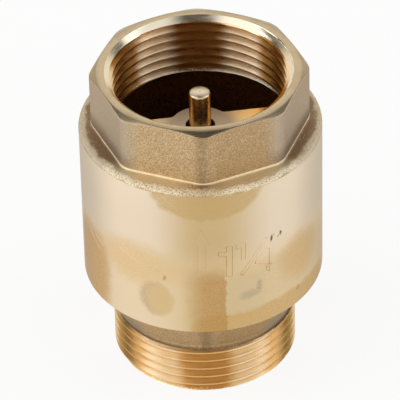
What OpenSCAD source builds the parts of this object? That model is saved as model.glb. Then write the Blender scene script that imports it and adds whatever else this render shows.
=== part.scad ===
// In-line spring check valve, cast and turned brass, stood on its inlet end.
// Water enters at the bottom, lifts the disc off its seat and leaves at the top.
// The frame stands on the inlet end face, with +Z up along the flow.

/* [Outlet end] */
// Major diameter of both pipe threads, internal at the top and external at the bottom
thread_major_d = 41.91; // [36:0.01:48]
// Radial depth of the pipe thread
thread_depth = 1.479; // [1:0.001:1.8]
// Pitch of the pipe thread
thread_pitch = 2.309; // [1.8:0.001:2.6]
// Width of the flat left on each crest and in each root of the thread
thread_flat = 0.385; // [0.2:0.005:0.5]
// Depth of the internal thread, from the end face down
socket_depth = 14.6; // [11:0.1:18]
// How far the countersunk mouth is wider than the thread, each side
mouth_flare = 0.18; // [0.05:0.01:0.6]
// Depth of the countersunk mouth
mouth_depth = 1.2; // [0.6:0.1:2.5]
// Metal between the thread's root and the flat of the octagon
octagon_wall = 2.05; // [1.6:0.05:4]
// Height of the eight spanner flats above the shoulder
octagon_h = 13.5; // [10:0.1:18]
// Radius of the octagon's cast corners
octagon_corner_r = 3; // [1:0.1:5]
// Angle by which the octagon's corners are turned about the axis
octagon_turn = 3.4; // [0:0.1:22.5]
// Width lost from each flat where the end face is crowned
crown_inset = 0.3; // [0.1:0.05:1]
// Slope of the crown turned on the octagon's corners, below level
crown_angle = 22; // [15:1:35]
// Radius of the cast fillet where the octagon stands on the shoulder
root_fillet = 0.8; // [0.4:0.1:1.5]

/* [Barrel] */
// Height of the turned barrel, from the joint up to the shoulder
barrel_h = 39.8; // [36:0.1:55]
// Diameter of the chamber inside the barrel
chamber_d = 46.6; // [44:0.1:52]
// Wall of the barrel at the chamber
barrel_wall = 4.05; // [3:0.05:6]
// Radius of the cast edge of the shoulder
shoulder_round = 1.2; // [0.6:0.1:2]
// Edge broken at the foot of the barrel
edge_break = 0.3; // [0.1:0.05:0.6]
// Height of the cored taper from the chamber up to the socket
core_taper_h = 6.5; // [4:0.1:9]
// Step under the last thread of the socket, each side
core_step = 1.5; // [0.8:0.1:2]

/* [Joint between the halves] */
// Length of the spigot that screws into the barrel
spigot_h = 5.8; // [5:0.1:9]
// How far the spigot's thread is cut outside the chamber wall
spigot_step = 0.95; // [0.5:0.05:1.5]
// Clearance between spigot and barrel, each side
joint_clearance = 0.1; // [0.05:0.01:0.2]
// Room above the spigot, up to the step in the barrel
joint_room = 1.6; // [0.8:0.1:3]
// Section of the joint's sealing ring
ring_d = 1.5; // [1.2:0.05:1.8]
// Depth of the groove for the sealing ring
ring_groove_depth = 1.45; // [1.3:0.05:1.6]
// Width of the groove for the sealing ring
ring_groove_w = 2; // [1.9:0.05:2.4]

/* [Inlet end] */
// Length of the external thread
male_len = 11.9; // [10:0.1:16]
// Chamfer on the end of the external thread
male_chamfer = 0.5; // [0.3:0.05:1]
// Diameter of the cast neck where it meets the thread
neck_d = 39.6; // [38:0.1:41]
// Height of the straight neck above the thread
neck_h = 0.7; // [0.3:0.1:1.5]
// Height of the cast cone, from the thread up to the joint
cone_h = 10.9; // [8:0.1:15]
// Radius of the cast fillet between neck and cone
neck_fillet = 2.4; // [1:0.1:3.5]
// Diameter of the inlet bore
inlet_d = 31.6; // [28:0.1:33]
// Diameter of the port inside the seat
seat_d = 27; // [24:0.1:28]
// Height over which the bore narrows to the port
port_taper_h = 5; // [3:0.1:7]
// Width of the flat seat at its top
seat_w = 1.2; // [0.8:0.1:1.8]
// Height of the seat above the spigot
seat_h = 1.4; // [0.8:0.1:2.5]

/* [Bridge] */
// Diameter of the guide hub
hub_d = 13.6; // [12:0.1:15]
// Length of the guide hub
hub_h = 10.8; // [8:0.1:13]
// Diameter of the guide hole
guide_d = 6.7; // [6:0.1:7.5]
// How far the hub's top lies below the last thread of the socket
hub_drop = 0.7; // [0.2:0.1:3]
// Width of each arm at its top
arm_w = 8.2; // [6:0.1:9.5]
// Width of each arm at its foot
arm_foot_w = 5; // [4:0.1:6]
// Depth of each arm
arm_h = 6.4; // [5:0.1:7.5]
// How far the arms lie below the hub's top
arm_drop = 0.1; // [0.1:0.1:2]
// Rounding of the arms' top edges
arm_round = 0.4; // [0.2:0.1:1.5]
// Radius of the cast fillet between hub and arms
arm_fillet = 1.6; // [1:0.1:2.2]
// Angle of the arms about the axis, anticlockwise from +X
arm_turn = 8; // [0:1:45]

/* [Stem and disc] */
// Diameter of the stem
stem_d = 4.9; // [4:0.1:5.4]
// How far the stem stands above the hub when the valve is shut
stem_proud = 9.2; // [8:0.1:12]
// Rounding of the stem's top edge
stem_round = 0.7; // [0.3:0.1:1]
// Diameter of the stem's collar, which stops on the hub
collar_d = 8.8; // [8:0.1:9.6]
// Lift of the disc from shut to fully open
lift = 7; // [5:0.1:8]
// Gap left between collar and hub at full lift
stop_gap = 0.2; // [0.1:0.05:0.5]
// Thickness of the pressed disc
disc_t = 1.6; // [1.2:0.1:2.5]
// Thickness of the rim pressed down round the seal
rim_t = 0.8; // [0.6:0.05:1.2]
// Depth of that rim
rim_h = 1.6; // [1:0.1:2]
// Thickness of the rubber seal
seal_t = 2.5; // [2.2:0.1:3.5]
// How far the seal reaches past the seat, each side
seal_overlap = 1.8; // [1.2:0.1:2.5]
// Radial clearance of what is threaded on the stem or set in the rim
fit_clearance = 0.05; // [0.03:0.01:0.1]

/* [Clamping washer and nut] */
// Diameter of the stem's threaded foot
foot_d = 4; // [3:0.1:4.2]
// Diameter of the clamping washer
washer_d = 22; // [16:0.1:23]
// Thickness of the clamping washer
washer_t = 1.2; // [0.8:0.1:2]
// Width of the nut across its flats
nut_af = 7; // [6.5:0.1:9]
// Height of the nut
nut_h = 3.2; // [2.4:0.1:4]
// How far the stem's foot stands out of the nut
foot_proud = 0.8; // [0.3:0.1:1.5]

/* [Spring] */
// Wire diameter of the spring
wire_d = 0.8; // [0.6:0.05:0.9]
// Clearance between the spring's wire and the collar, each side
spring_clearance = 0.9; // [0.5:0.1:1.1]
// Turns of the spring between its closed ends
active_turns = 6; // [4:1:7]
// Gap between the spring and the faces it stands between
spring_gap = 0.1; // [0.05:0.05:0.3]

/* [Hidden] */

$fn = 96;
// Small overlap that makes cuts and fused pieces run through
over = 0.5;
// How far the fillet's two edges are sunk in the flats and in the shoulder
root_sink = 0.05;

// Radii
major_r = thread_major_d / 2;
minor_r = major_r - thread_depth;
flat_r = major_r + octagon_wall;
chamber_r = chamber_d / 2;
barrel_r = chamber_r + barrel_wall;
joint_r = chamber_r + spigot_step;
spigot_r = joint_r - joint_clearance;
core_r = minor_r + core_step;
inlet_r = inlet_d / 2;
port_r = seat_d / 2;
hub_r = hub_d / 2;
seal_r = port_r + seat_w + seal_overlap;
rim_r = seal_r + fit_clearance + rim_t;
groove_half = (thread_pitch - thread_flat) / 2;
foot_r = foot_d / 2;
washer_bore_r = foot_r + fit_clearance;
collar_r = collar_d / 2;

// Heights, from the inlet end up
joint_z = male_len + cone_h;
spigot_top_z = joint_z + spigot_h;
step_z = spigot_top_z + joint_room;
seat_z = spigot_top_z + seat_h;
shoulder_z = joint_z + barrel_h;
top_z = shoulder_z + octagon_h;
socket_z = top_z - socket_depth;
hub_top_z = socket_z - hub_drop;
hub_foot_z = hub_top_z - hub_h;
arm_top_z = hub_top_z - arm_drop;
disc_z = seat_z + seal_t;
disc_top_z = disc_z + disc_t;
collar_top_z = hub_foot_z - lift - stop_gap;
stem_top_z = hub_top_z + stem_proud;
washer_z = seat_z - washer_t;
nut_z = washer_z - nut_h;
foot_z = nut_z - foot_proud;

// Colours of the finishes
turned_brass = [0.84, 0.74, 0.52];
bright_brass = [0.85, 0.68, 0.36];
rubber_black = [0.1, 0.1, 0.1];
spring_steel = [0.7, 0.7, 0.68];

// Points of an arc about a centre, from one angle to another
function arc(centre, r, from, to, steps) =
    [for (k = [0 : steps]) let (a = from + (to - from) * k / steps)
        centre + r * [cos(a), sin(a)]];

// Outline of an octagon with cast round corners, seven points to a corner
function octagon_points(apothem, corner_r) =
    [for (i = [0 : 7]) let (middle = 45 * i, reach = (apothem - corner_r) / cos(22.5))
        each arc(reach * [cos(middle), sin(middle)], corner_r, middle - 22.5, middle + 22.5, 6)];

// Grooves that cut the pipe thread into a wall, drawn as rings without their helix
module thread_grooves(wall_r, root_r, heights) {
    air = sign(wall_r - root_r) * over;
    flank = thread_pitch / 2 - thread_flat;
    opening = groove_half + over * flank / thread_depth;
    for (height = heights)
        translate([0, 0, height])
            rotate_extrude()
                polygon([[wall_r + air, -opening], [root_r, -thread_flat / 2],
                         [root_r, thread_flat / 2], [wall_r + air, opening]]);
}

// Shoulder and barrel as one turned outline, without the octagon
module barrel_outside() {
    corner = [barrel_r - shoulder_round, shoulder_z - shoulder_round];
    rotate_extrude()
        polygon(concat(
            [[0, joint_z], [barrel_r - edge_break, joint_z], [barrel_r, joint_z + edge_break]],
            arc(corner, shoulder_round, 0, 90, 5),
            [[0, shoulder_z]]));
}

// Eight flats standing on the shoulder, with the crown turned off their corners
module octagon_end() {
    crown_r = flat_r - crown_inset;
    reach = flat_r / cos(22.5);
    crown_drop = (reach - crown_r) * tan(crown_angle);
    intersection() {
        rotate(octagon_turn)
            translate([0, 0, shoulder_z - over])
                linear_extrude(octagon_h + over)
                    polygon(octagon_points(flat_r, octagon_corner_r));
        rotate_extrude()
            polygon([[0, shoulder_z - 2 * over], [reach, shoulder_z - 2 * over],
                     [reach, top_z - crown_drop], [crown_r, top_z], [0, top_z]]);
    }
    // Cast fillet at the foot of the flats, as one slope all round
    rotate(octagon_turn)
        hull() {
            translate([0, 0, shoulder_z - over])
                linear_extrude(over - root_sink)
                    polygon(octagon_points(flat_r + root_fillet, octagon_corner_r + root_fillet));
            translate([0, 0, shoulder_z - over])
                linear_extrude(over + root_fillet)
                    polygon(octagon_points(flat_r - root_sink, octagon_corner_r));
        }
}

// Everything cored and bored out of the outlet half, as one turned outline
module outlet_hollow() {
    rotate_extrude()
        polygon([[0, joint_z - over], [joint_r + over, joint_z - over],
                 [joint_r + over, joint_z], [joint_r, joint_z + over],
                 [joint_r, step_z], [chamber_r, step_z],
                 [chamber_r, socket_z - core_taper_h], [core_r, socket_z - core_step / 2],
                 [core_r, socket_z], [minor_r, socket_z],
                 [minor_r, top_z - mouth_depth], [major_r + mouth_flare, top_z],
                 [major_r + mouth_flare, top_z + over], [0, top_z + over]]);
}

// Section of one arm, flat on top with rounded edges and narrow below
module arm_section() {
    half = arm_w / 2;
    foot = arm_foot_w / 2;
    polygon(concat(
        [[-foot, -arm_h], [foot, -arm_h]],
        arc([half - arm_round, -arm_round], arm_round, 0, 90, 4),
        arc([arm_round - half, -arm_round], arm_round, 90, 180, 4)));
}

// Cast fillet in the corner between the hub and one side of an arm
module arm_corner() {
    half = arm_w / 2 - arm_round / 4;
    away = sqrt(pow(hub_r + arm_fillet, 2) - pow(half + arm_fillet, 2));
    centre = [away, half + arm_fillet];
    difference() {
        polygon([[0, 0], [away, 0], centre, centre * (hub_r - arm_fillet / 4) / norm(centre)]);
        translate(centre) circle(arm_fillet);
    }
}

// Bridge across the chamber: two arms and the hub that guides the stem
module bridge() {
    rotate(arm_turn) {
        intersection() {
            translate([-chamber_r - over, 0, arm_top_z])
                rotate([90, 0, 90])
                    linear_extrude(2 * (chamber_r + over)) arm_section();
            cylinder(r = chamber_r + over, h = socket_z);
        }
        translate([0, 0, arm_top_z - arm_h])
            linear_extrude(arm_h - arm_round)
                for (side = [0, 1], end = [0, 1])
                    mirror([0, side, 0]) mirror([end, 0, 0]) arm_corner();
    }
    translate([0, 0, hub_foot_z]) cylinder(r = hub_r, h = hub_h);
}

// Upper half: octagon, socket, shoulder, barrel and bridge in one casting
module outlet_body() {
    lowest = socket_z + thread_flat + groove_half;
    color(turned_brass)
        difference() {
            union() {
                difference() {
                    union() {
                        barrel_outside();
                        octagon_end();
                    }
                    outlet_hollow();
                    thread_grooves(minor_r, major_r, [lowest : thread_pitch : top_z - mouth_depth]);
                }
                bridge();
            }
            translate([0, 0, hub_foot_z - over]) cylinder(d = guide_d, h = hub_h + 2 * over);
        }
}

// Lower half: external thread, cast cone, spigot and seat in one turned casting
module inlet_tail() {
    neck_r = neck_d / 2;
    cone_top_r = barrel_r - edge_break;
    slope = atan2(cone_top_r - neck_r, cone_h - neck_h);
    fillet_centre = [neck_r + neck_fillet, male_len + neck_h];
    groove_z = joint_z + ring_groove_w;
    highest = male_len - thread_flat - groove_half;
    color(turned_brass)
        difference() {
            rotate_extrude()
                polygon(concat(
                    [[0, 0], [major_r - male_chamfer, 0], [major_r, male_chamfer],
                     [major_r, male_len], [neck_r, male_len + (major_r - neck_r) / 2]],
                    arc(fillet_centre, neck_fillet, 180, 180 - slope * 1.2, 4),
                    [[cone_top_r, joint_z], [spigot_r - ring_groove_depth, joint_z],
                     [spigot_r - ring_groove_depth, groove_z], [spigot_r, groove_z],
                     [spigot_r, spigot_top_z - edge_break],
                     [spigot_r - edge_break, spigot_top_z],
                     [port_r + seat_w + seat_h, spigot_top_z], [port_r + seat_w, seat_z],
                     [0, seat_z]]));
            rotate_extrude()
                polygon([[0, -over], [inlet_r, -over],
                         [inlet_r, spigot_top_z - port_taper_h], [port_r, spigot_top_z],
                         [port_r, seat_z + over], [0, seat_z + over]]);
            thread_grooves(major_r, minor_r, [highest : -thread_pitch : groove_half]);
        }
}

// Rubber ring that seals the screwed joint between the halves
module joint_ring() {
    ring_r = spigot_r - ring_groove_depth + ring_d / 2 + joint_clearance / 4;
    color(rubber_black)
        translate([0, 0, joint_z + ring_groove_w / 2])
            rotate_extrude() translate([ring_r, 0]) circle(d = ring_d);
}

// Turned stem: guide shank, stop collar and threaded foot
module valve_stem() {
    stem_r = stem_d / 2;
    tip = [stem_r - stem_round, stem_top_z - stem_round];
    color(bright_brass)
        rotate_extrude()
            polygon(concat(
                [[0, foot_z], [foot_r - edge_break, foot_z], [foot_r, foot_z + edge_break],
                 [foot_r, disc_top_z], [collar_r, disc_top_z],
                 [collar_r, collar_top_z - edge_break], [collar_r - edge_break, collar_top_z],
                 [stem_r, collar_top_z]],
                arc(tip, stem_round, 0, 90, 5),
                [[0, stem_top_z]]));
}

// Pressed disc with a rim that holds the seal
module valve_disc() {
    inner_r = seal_r + fit_clearance;
    color(bright_brass)
        rotate_extrude()
            polygon([[washer_bore_r, disc_z], [inner_r, disc_z], [inner_r, disc_z - rim_h],
                     [rim_r, disc_z - rim_h], [rim_r, disc_top_z - rim_t],
                     [rim_r - rim_t, disc_top_z], [washer_bore_r, disc_top_z]]);
}

// Flat rubber seal that shuts on the seat
module seal_washer() {
    color(rubber_black)
        rotate_extrude()
            polygon([[washer_bore_r, seat_z], [seal_r, seat_z], [seal_r, disc_z],
                     [washer_bore_r, disc_z]]);
}

// Washer that clamps the seal against the disc
module clamp_washer() {
    color(bright_brass)
        rotate_extrude()
            polygon([[washer_bore_r, washer_z], [washer_d / 2 - edge_break, washer_z],
                     [washer_d / 2, washer_z + edge_break], [washer_d / 2, seat_z],
                     [washer_bore_r, seat_z]]);
}

// Hexagon nut on the stem's foot, with its lower corners turned off
module clamp_nut() {
    reach = nut_af / 2 / cos(30);
    corner_drop = (reach - nut_af / 2) * tan(30);
    color(bright_brass)
        difference() {
            intersection() {
                translate([0, 0, nut_z]) cylinder(r = reach, h = nut_h, $fn = 6);
                rotate_extrude()
                    polygon([[0, nut_z], [nut_af / 2, nut_z], [reach, nut_z + corner_drop],
                             [reach + over, washer_z], [0, washer_z]]);
            }
            translate([0, 0, nut_z - over])
                cylinder(r = washer_bore_r, h = nut_h + 2 * over);
        }
}

// Rise of the spring's wire after a number of turns: one closed turn at each end
function coil_rise(turn, height) =
    turn < 1 ? turn * wire_d :
    turn > active_turns + 1 ? height - (active_turns + 2 - turn) * wire_d :
    wire_d + (turn - 1) * (height - 2 * wire_d) / active_turns;

// Compression spring from the disc up to the hub, swept round wire
module return_spring() {
    steps = 20;
    sides = 8;
    coil_r = collar_r + spring_clearance + wire_d / 2;
    low_z = disc_top_z + spring_gap + wire_d / 2;
    height = hub_foot_z - disc_top_z - 2 * spring_gap - wire_d;
    last = (active_turns + 2) * steps;
    points = [for (i = [0 : last], j = [0 : sides - 1])
        let (turn = i / steps, around = 360 * turn, face = 360 * (j + 0.5) / sides,
             out = coil_r + wire_d / 2 * cos(face))
        [out * cos(around), out * sin(around),
         low_z + coil_rise(turn, height) + wire_d / 2 * sin(face)]];
    walls = [for (i = [0 : last - 1], j = [0 : sides - 1])
        let (a = i * sides + j, b = i * sides + (j + 1) % sides)
        [a, b, b + sides, a + sides]];
    ends = [[for (j = [sides - 1 : -1 : 0]) j], [for (j = [0 : sides - 1]) last * sides + j]];
    color(spring_steel) polyhedron(points, concat(walls, ends), convexity = 10);
}

outlet_body();
inlet_tail();
joint_ring();
valve_stem();
valve_disc();
seal_washer();
clamp_washer();
clamp_nut();
return_spring();
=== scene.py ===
# %% [markdown]
# # A brass check valve, finished piece by piece
#
# The valve is already built: nine solids at their real size, with one joint that lifts the disc.
# Here each of them gets the surface of the real thing. The castings and the stem are modelled
# again, with helical threads and cast softness, and the spring becomes a round wire. Every finish
# is a small node tree that says how the metal was made: cast, turned, faced or threaded; several
# also carry painted shade, painted highlights and painted reflections.

# %% Load the frame
import math

import bmesh
import bpy
from mathutils import Matrix, Vector


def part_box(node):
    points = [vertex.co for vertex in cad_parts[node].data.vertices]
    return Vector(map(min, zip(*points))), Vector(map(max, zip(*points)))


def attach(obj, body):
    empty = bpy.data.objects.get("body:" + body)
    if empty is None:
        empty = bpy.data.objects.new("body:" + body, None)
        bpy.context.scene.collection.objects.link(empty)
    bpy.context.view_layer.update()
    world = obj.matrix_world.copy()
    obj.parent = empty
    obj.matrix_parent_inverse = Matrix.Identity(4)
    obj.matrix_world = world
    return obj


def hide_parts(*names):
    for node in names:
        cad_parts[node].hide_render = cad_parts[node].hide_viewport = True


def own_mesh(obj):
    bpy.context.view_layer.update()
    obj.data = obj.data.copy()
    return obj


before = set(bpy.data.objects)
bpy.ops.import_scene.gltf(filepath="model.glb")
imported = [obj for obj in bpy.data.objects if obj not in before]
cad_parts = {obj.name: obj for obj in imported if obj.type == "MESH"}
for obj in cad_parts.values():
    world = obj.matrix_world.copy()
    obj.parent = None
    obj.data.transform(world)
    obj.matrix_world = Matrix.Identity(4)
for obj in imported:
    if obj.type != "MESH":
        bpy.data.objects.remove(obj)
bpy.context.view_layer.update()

print("Solids:", ", ".join(sorted(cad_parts)))

# %% [markdown]
# ## The camera
#
# The picture was taken from high above the front with a long lens, so the barrel's sides stay
# nearly parallel. Such a camera is best described the way a photographer would: where it stands,
# how far it looks down, and how much it leans. The lens is given for a 36 mm wide sensor.

# %% Camera
MM = 0.001
CAMERA_PLACE = Vector((0.0, -0.72157, 0.60264))
CAMERA_YAW = -0.00068
CAMERA_PITCH = 0.66281
CAMERA_LEAN = -0.02419
LENS = 362.04
SENSOR = 36.0

ahead = Vector((math.sin(CAMERA_YAW) * math.cos(CAMERA_PITCH),
                math.cos(CAMERA_YAW) * math.cos(CAMERA_PITCH), -math.sin(CAMERA_PITCH)))
level = Vector((math.cos(CAMERA_YAW), -math.sin(CAMERA_YAW), 0.0))
above = level.cross(ahead)
camera_x = level * math.cos(CAMERA_LEAN) + above * math.sin(CAMERA_LEAN)
camera_y = above * math.cos(CAMERA_LEAN) - level * math.sin(CAMERA_LEAN)

camera = bpy.data.objects.new("camera", bpy.data.cameras.new("camera"))
camera.data.sensor_width = SENSOR
camera.data.lens = LENS
axes = Matrix((camera_x, camera_y, -ahead)).transposed()
camera.matrix_world = Matrix.Translation(CAMERA_PLACE) @ axes.to_4x4()
bpy.context.scene.collection.objects.link(camera)
bpy.context.scene.camera = camera
print(f"Camera looks down by {math.degrees(CAMERA_PITCH):.1f} degrees")

# %% [markdown]
# ## Sizes
#
# The frame gives every height that the pieces share, so those are read from it and not typed again.
# What only shows on the surface, such as the thread's form and the octagon, is written here
# in millimetres, as it would stand on the maker's drawing.

# %% Heights from the frame
outlet_low, outlet_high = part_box("outlet_body")
inlet_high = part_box("inlet_tail")[1]
stem_low, stem_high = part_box("valve_stem")
spring_low, spring_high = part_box("return_spring")

JOINT_Z = outlet_low.z
TOP_Z = outlet_high.z
SEAT_Z = inlet_high.z
BARREL_R = outlet_high.x
print(f"Barrel {2 * BARREL_R / MM:.1f} mm across, {TOP_Z / MM:.1f} mm high")

# %% Sizes of the castings
MAJOR_R = 20.955 * MM
MINOR_R = 19.476 * MM
PITCH = 2.309 * MM
THREAD_FLAT = 0.385 * MM
FLAT_R = 23.005 * MM
OCTAGON_H = 13.5 * MM
CORNER_R = 4.5 * MM
OCTAGON_TURN = math.radians(1.2)
CROWN_R = 22.705 * MM
CROWN_SLOPE = math.tan(math.radians(22))
ROOT_FILLET = 0.45 * MM
CROWN_BREAK = 0.15 * MM
SHOULDER_Z = TOP_Z - OCTAGON_H
SHOULDER_ROUND = 1.2 * MM
SHOULDER_REACH = 2.6 * MM
EDGE_BREAK = 0.3 * MM

MOUTH_R = 21.135 * MM
MOUTH_DEPTH = 1.2 * MM
SOCKET_Z = TOP_Z - 14.6 * MM
CORE_R = 20.976 * MM
CORE_STEP = 1.5 * MM
CORE_TAPER = 6.5 * MM
CHAMBER_R = 23.3 * MM
JOINT_R = 24.25 * MM
STEP_Z = 30.2 * MM

MALE_LEN = 11.9 * MM
MALE_CHAMFER = 0.5 * MM
NECK_R = 20.6 * MM
NECK_H = 0.7 * MM
NECK_FILLET = 2.4 * MM
INLET_R = 15.8 * MM
PORT_R = 13.5 * MM
PORT_TAPER = 5.0 * MM
SPIGOT_Z = 28.6 * MM
SPIGOT_R = 24.15 * MM
SEAT_W = 1.2 * MM
GROOVE_DEPTH = 1.45 * MM
GROOVE_W = 2.0 * MM

HUB_R = 6.8 * MM
HUB_H = 10.8 * MM
GUIDE_R = 3.35 * MM
HUB_TOP = SOCKET_Z - 0.7 * MM
ARM_W = 8.2 * MM
ARM_FOOT_W = 5.0 * MM
ARM_H = 6.4 * MM
ARM_TURN = math.radians(8)

# %% [markdown]
# ## Small tools
#
# A handful of helpers does the work that every piece needs: a colour written as a hex value becomes
# linear light, one function adds any node with its settings and links, and one turns an
# outline about the axis. The outline's radius and height may depend on the angle, and that is
# what lets the same function turn a round barrel and an octagon.

# %% Colours and nodes
def linear(text):
    """Turn a colour written as #RRGGBB into the linear light that a shader takes."""
    channels = [int(text[i:i + 2], 16) / 255 for i in (1, 3, 5)]
    light = [c / 12.92 if c <= 0.04045 else ((c + 0.055) / 1.055) ** 2.4 for c in channels]
    return (*light, 1.0)


def fill(tree, node, sockets):
    """Give sockets of a node, by name or number, a value each or a link to another node."""
    for key, value in sockets.items():
        if isinstance(value, bpy.types.NodeSocket):
            tree.links.new(value, node.inputs[key])
        else:
            node.inputs[key].default_value = value
    return node


def add(tree, kind, sockets=None, **settings):
    """Add a node, set its own settings and fill its sockets."""
    node = tree.nodes.new(kind)
    for name, value in settings.items():
        setattr(node, name, value)
    return fill(tree, node, sockets or {})


def math_of(tree, operation, first, second=0.0):
    """Result of one sum on two values or sockets."""
    return add(tree, "ShaderNodeMath", {0: first, 1: second}, operation=operation).outputs[0]


def product(tree, first, *others):
    """All of these values or sockets multiplied."""
    for other in others:
        first = math_of(tree, "MULTIPLY", first, other)
    return first


def total(tree, first, *others):
    """All of these values or sockets added up."""
    for other in others:
        first = math_of(tree, "ADD", first, other)
    return first


def minus(tree, first, second):
    """The first value or socket less the second."""
    return math_of(tree, "SUBTRACT", first, second)


# %% Turned outlines
COLUMNS = 320


def at(value, angle):
    """Value of a radius or height at an angle, whether it depends on the angle or not."""
    return value(angle) if callable(value) else value


def turn(mesh, rows):
    """Turn an outline about the axis and join each ring of points to the next."""
    rings = []
    for radius, height in rows:
        ring = []
        for column in range(COLUMNS):
            angle = 2 * math.pi * column / COLUMNS
            out = at(radius, angle)
            place = (out * math.cos(angle), out * math.sin(angle), at(height, angle))
            ring.append(mesh.verts.new(place))
        rings.append(ring)
    for low, high in zip(rings, rings[1:]):
        for column in range(COLUMNS):
            after = (column + 1) % COLUMNS
            mesh.faces.new((low[column], low[after], high[after], high[column]))


def arc(centre_r, centre_z, radius, start, end, steps):
    """Points of a round edge, as pairs of radius and height; angles in degrees."""
    points = []
    for step in range(steps + 1):
        angle = math.radians(start + (end - start) * step / steps)
        points.append((centre_r + radius * math.cos(angle), centre_z + radius * math.sin(angle)))
    return points


def new_piece(name, mesh):
    """An object at the origin that holds a finished mesh."""
    piece = bpy.data.objects.new(name, mesh)
    bpy.context.scene.collection.objects.link(piece)
    return piece


MERGE_DISTANCE = 1e-6


def close_up(mesh):
    """Merge the points that meet, at a pole or along a seam, and turn every face outwards."""
    bmesh.ops.remove_doubles(mesh, verts=mesh.verts, dist=MERGE_DISTANCE)
    bmesh.ops.dissolve_degenerate(mesh, edges=mesh.edges, dist=MERGE_DISTANCE / 10)
    bmesh.ops.recalc_face_normals(mesh, faces=mesh.faces)


def to_mesh(mesh, name):
    """Turn a working mesh into a mesh that an object can hold."""
    data = bpy.data.meshes.new(name)
    mesh.to_mesh(data)
    mesh.free()
    return data


def smooth(piece, degrees=32):
    """Shade a piece smooth, but keep the edges sharper than an angle."""
    piece.data.polygons.foreach_set("use_smooth", [True] * len(piece.data.polygons))
    piece.data.set_sharp_from_angle(angle=math.radians(degrees))


# %% Joining and cutting solids
def keep_result(piece):
    """Make what the modifiers show the piece's own mesh, and take the modifiers off."""
    graph = bpy.context.evaluated_depsgraph_get()
    result = bpy.data.meshes.new_from_object(piece.evaluated_get(graph), depsgraph=graph)
    piece.modifiers.clear()
    piece.data = result
    return piece


def combine(piece, other, operation):
    """Unite a closed solid with another, or cut the other out of it, and drop the other."""
    step = piece.modifiers.new("combine", "BOOLEAN")
    step.operation = operation
    step.solver = "MANIFOLD"
    step.object = other
    keep_result(piece)
    bpy.data.objects.remove(other)


# %% [markdown]
# ## Metals
#
# Everything here is one alloy, yellow brass, yet the photo shows five different metals. The
# difference is the last tool that touched each face. Sand leaves a cast skin of fine grains that
# scatter the light and look brown. A turning tool leaves satin bands. A thread is cut bright and
# keeps its gold, with painted reflection stripes round it. So each finish below starts from the
# same metal and adds its own marks, at their real spacing, and several add painted shade, painted
# highlights and painted reflections as well. What handling left is a list of stains with their
# places.

# %% Shared finish nodes
def per_mm(size):
    """Scale of a pattern whose features are this many millimetres wide."""
    return 1 / (size * MM)


def new_material(name):
    """A material, its empty tree with a surface shader, and the place of a point on its object."""
    material = bpy.data.materials.new(name)
    material.use_nodes = True
    tree = material.node_tree
    tree.nodes.clear()
    shader = add(tree, "ShaderNodeBsdfPrincipled")
    add(tree, "ShaderNodeOutputMaterial", {"Surface": shader.outputs[0]})
    return material, tree, shader, add(tree, "ShaderNodeTexCoord").outputs["Object"]


def noise_of(tree, place, size, detail=3.0, roughness=0.5, stretch=None):
    """A cloudy pattern with features of a size in millimetres; stretch squeezes it by axis."""
    vector = place
    if stretch:
        vector = add(tree, "ShaderNodeMapping", {"Vector": place, "Scale": stretch}).outputs[0]
    return add(tree, "ShaderNodeTexNoise", {
        "Vector": vector, "Scale": per_mm(size), "Detail": detail,
        "Roughness": roughness}).outputs[0]


def ramp(tree, value, low, high, kind="SMOOTHSTEP", start=0.0, end=1.0):
    """Carry a value from one range into another, softly at both ends."""
    return add(tree, "ShaderNodeMapRange", {
        "Value": value, "From Min": low, "From Max": high, "To Min": start, "To Max": end},
        interpolation_type=kind).outputs[0]


def fade(tree, value, low, high, start=1.0):
    """A share that falls to nought as the value grows."""
    return ramp(tree, value, low, high, start=start, end=0.0)


def between(tree, noise, start=0.0, end=1.0):
    """Carry a cloudy pattern, whose values lie mostly from 0.3 to 0.7, into another range."""
    return ramp(tree, noise, 0.3, 0.7, start=start, end=end)


def blend_colour(tree, share, first, second):
    """Mix two colours, each a hex value or a socket, by a share."""
    node = add(tree, "ShaderNodeMix", {0: share}, data_type="RGBA")
    for key, colour in ((6, first), (7, second)):
        fill(tree, node, {key: linear(colour) if isinstance(colour, str) else colour})
    return node.outputs[2]


def overlay(tree, colour, shade, *shares):
    """Lay a shade over a colour by the product of some shares."""
    return blend_colour(tree, product(tree, *shares), colour, shade)


def blend_value(tree, share, first, second):
    """Mix two values, each a number or a socket, by a share."""
    return add(tree, "ShaderNodeMix", {0: share, 2: first, 3: second}, data_type="FLOAT").outputs[0]


def bump(tree, height, depth):
    """Raise a surface by a height from 0 to 1, times a depth in millimetres."""
    sockets = {"Height": height, "Distance": depth * MM, "Strength": 1.0}
    return add(tree, "ShaderNodeBump", sockets).outputs[0]


def stretch_gloss(tree, shader, amount):
    """Stretch the gloss along the axis, across the marks of a tool that ran round it."""
    tangent = add(tree, "ShaderNodeTangent", direction_type="RADIAL", axis="Z").outputs[0]
    fill(tree, shader, {"Anisotropic": amount, "Anisotropic Rotation": 0.25, "Tangent": tangent})


# %% Places on the castings
def radius_of(tree, place):
    """Distance of a point from the axis."""
    flat = add(tree, "ShaderNodeVectorMath", {0: place, 1: (1.0, 1.0, 0.0)}, operation="MULTIPLY")
    length = add(tree, "ShaderNodeVectorMath", {0: flat.outputs[0]}, operation="LENGTH")
    return length.outputs["Value"]


def unrolled(tree, place):
    """Where a point lies on the unrolled barrel: millimetres round it from the front, and up."""
    x, y, z = add(tree, "ShaderNodeSeparateXYZ", {0: place}).outputs
    angle = math_of(tree, "ARCTAN2", x, product(tree, y, -1.0))
    return product(tree, angle, BARREL_R / MM), product(tree, z, 1 / MM)


def band(tree, value, low, high, soft):
    """One between two values, nought outside them, with soft edges."""
    return product(tree, ramp(tree, value, low - soft, low + soft),
                   fade(tree, value, high - soft, high + soft))


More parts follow.
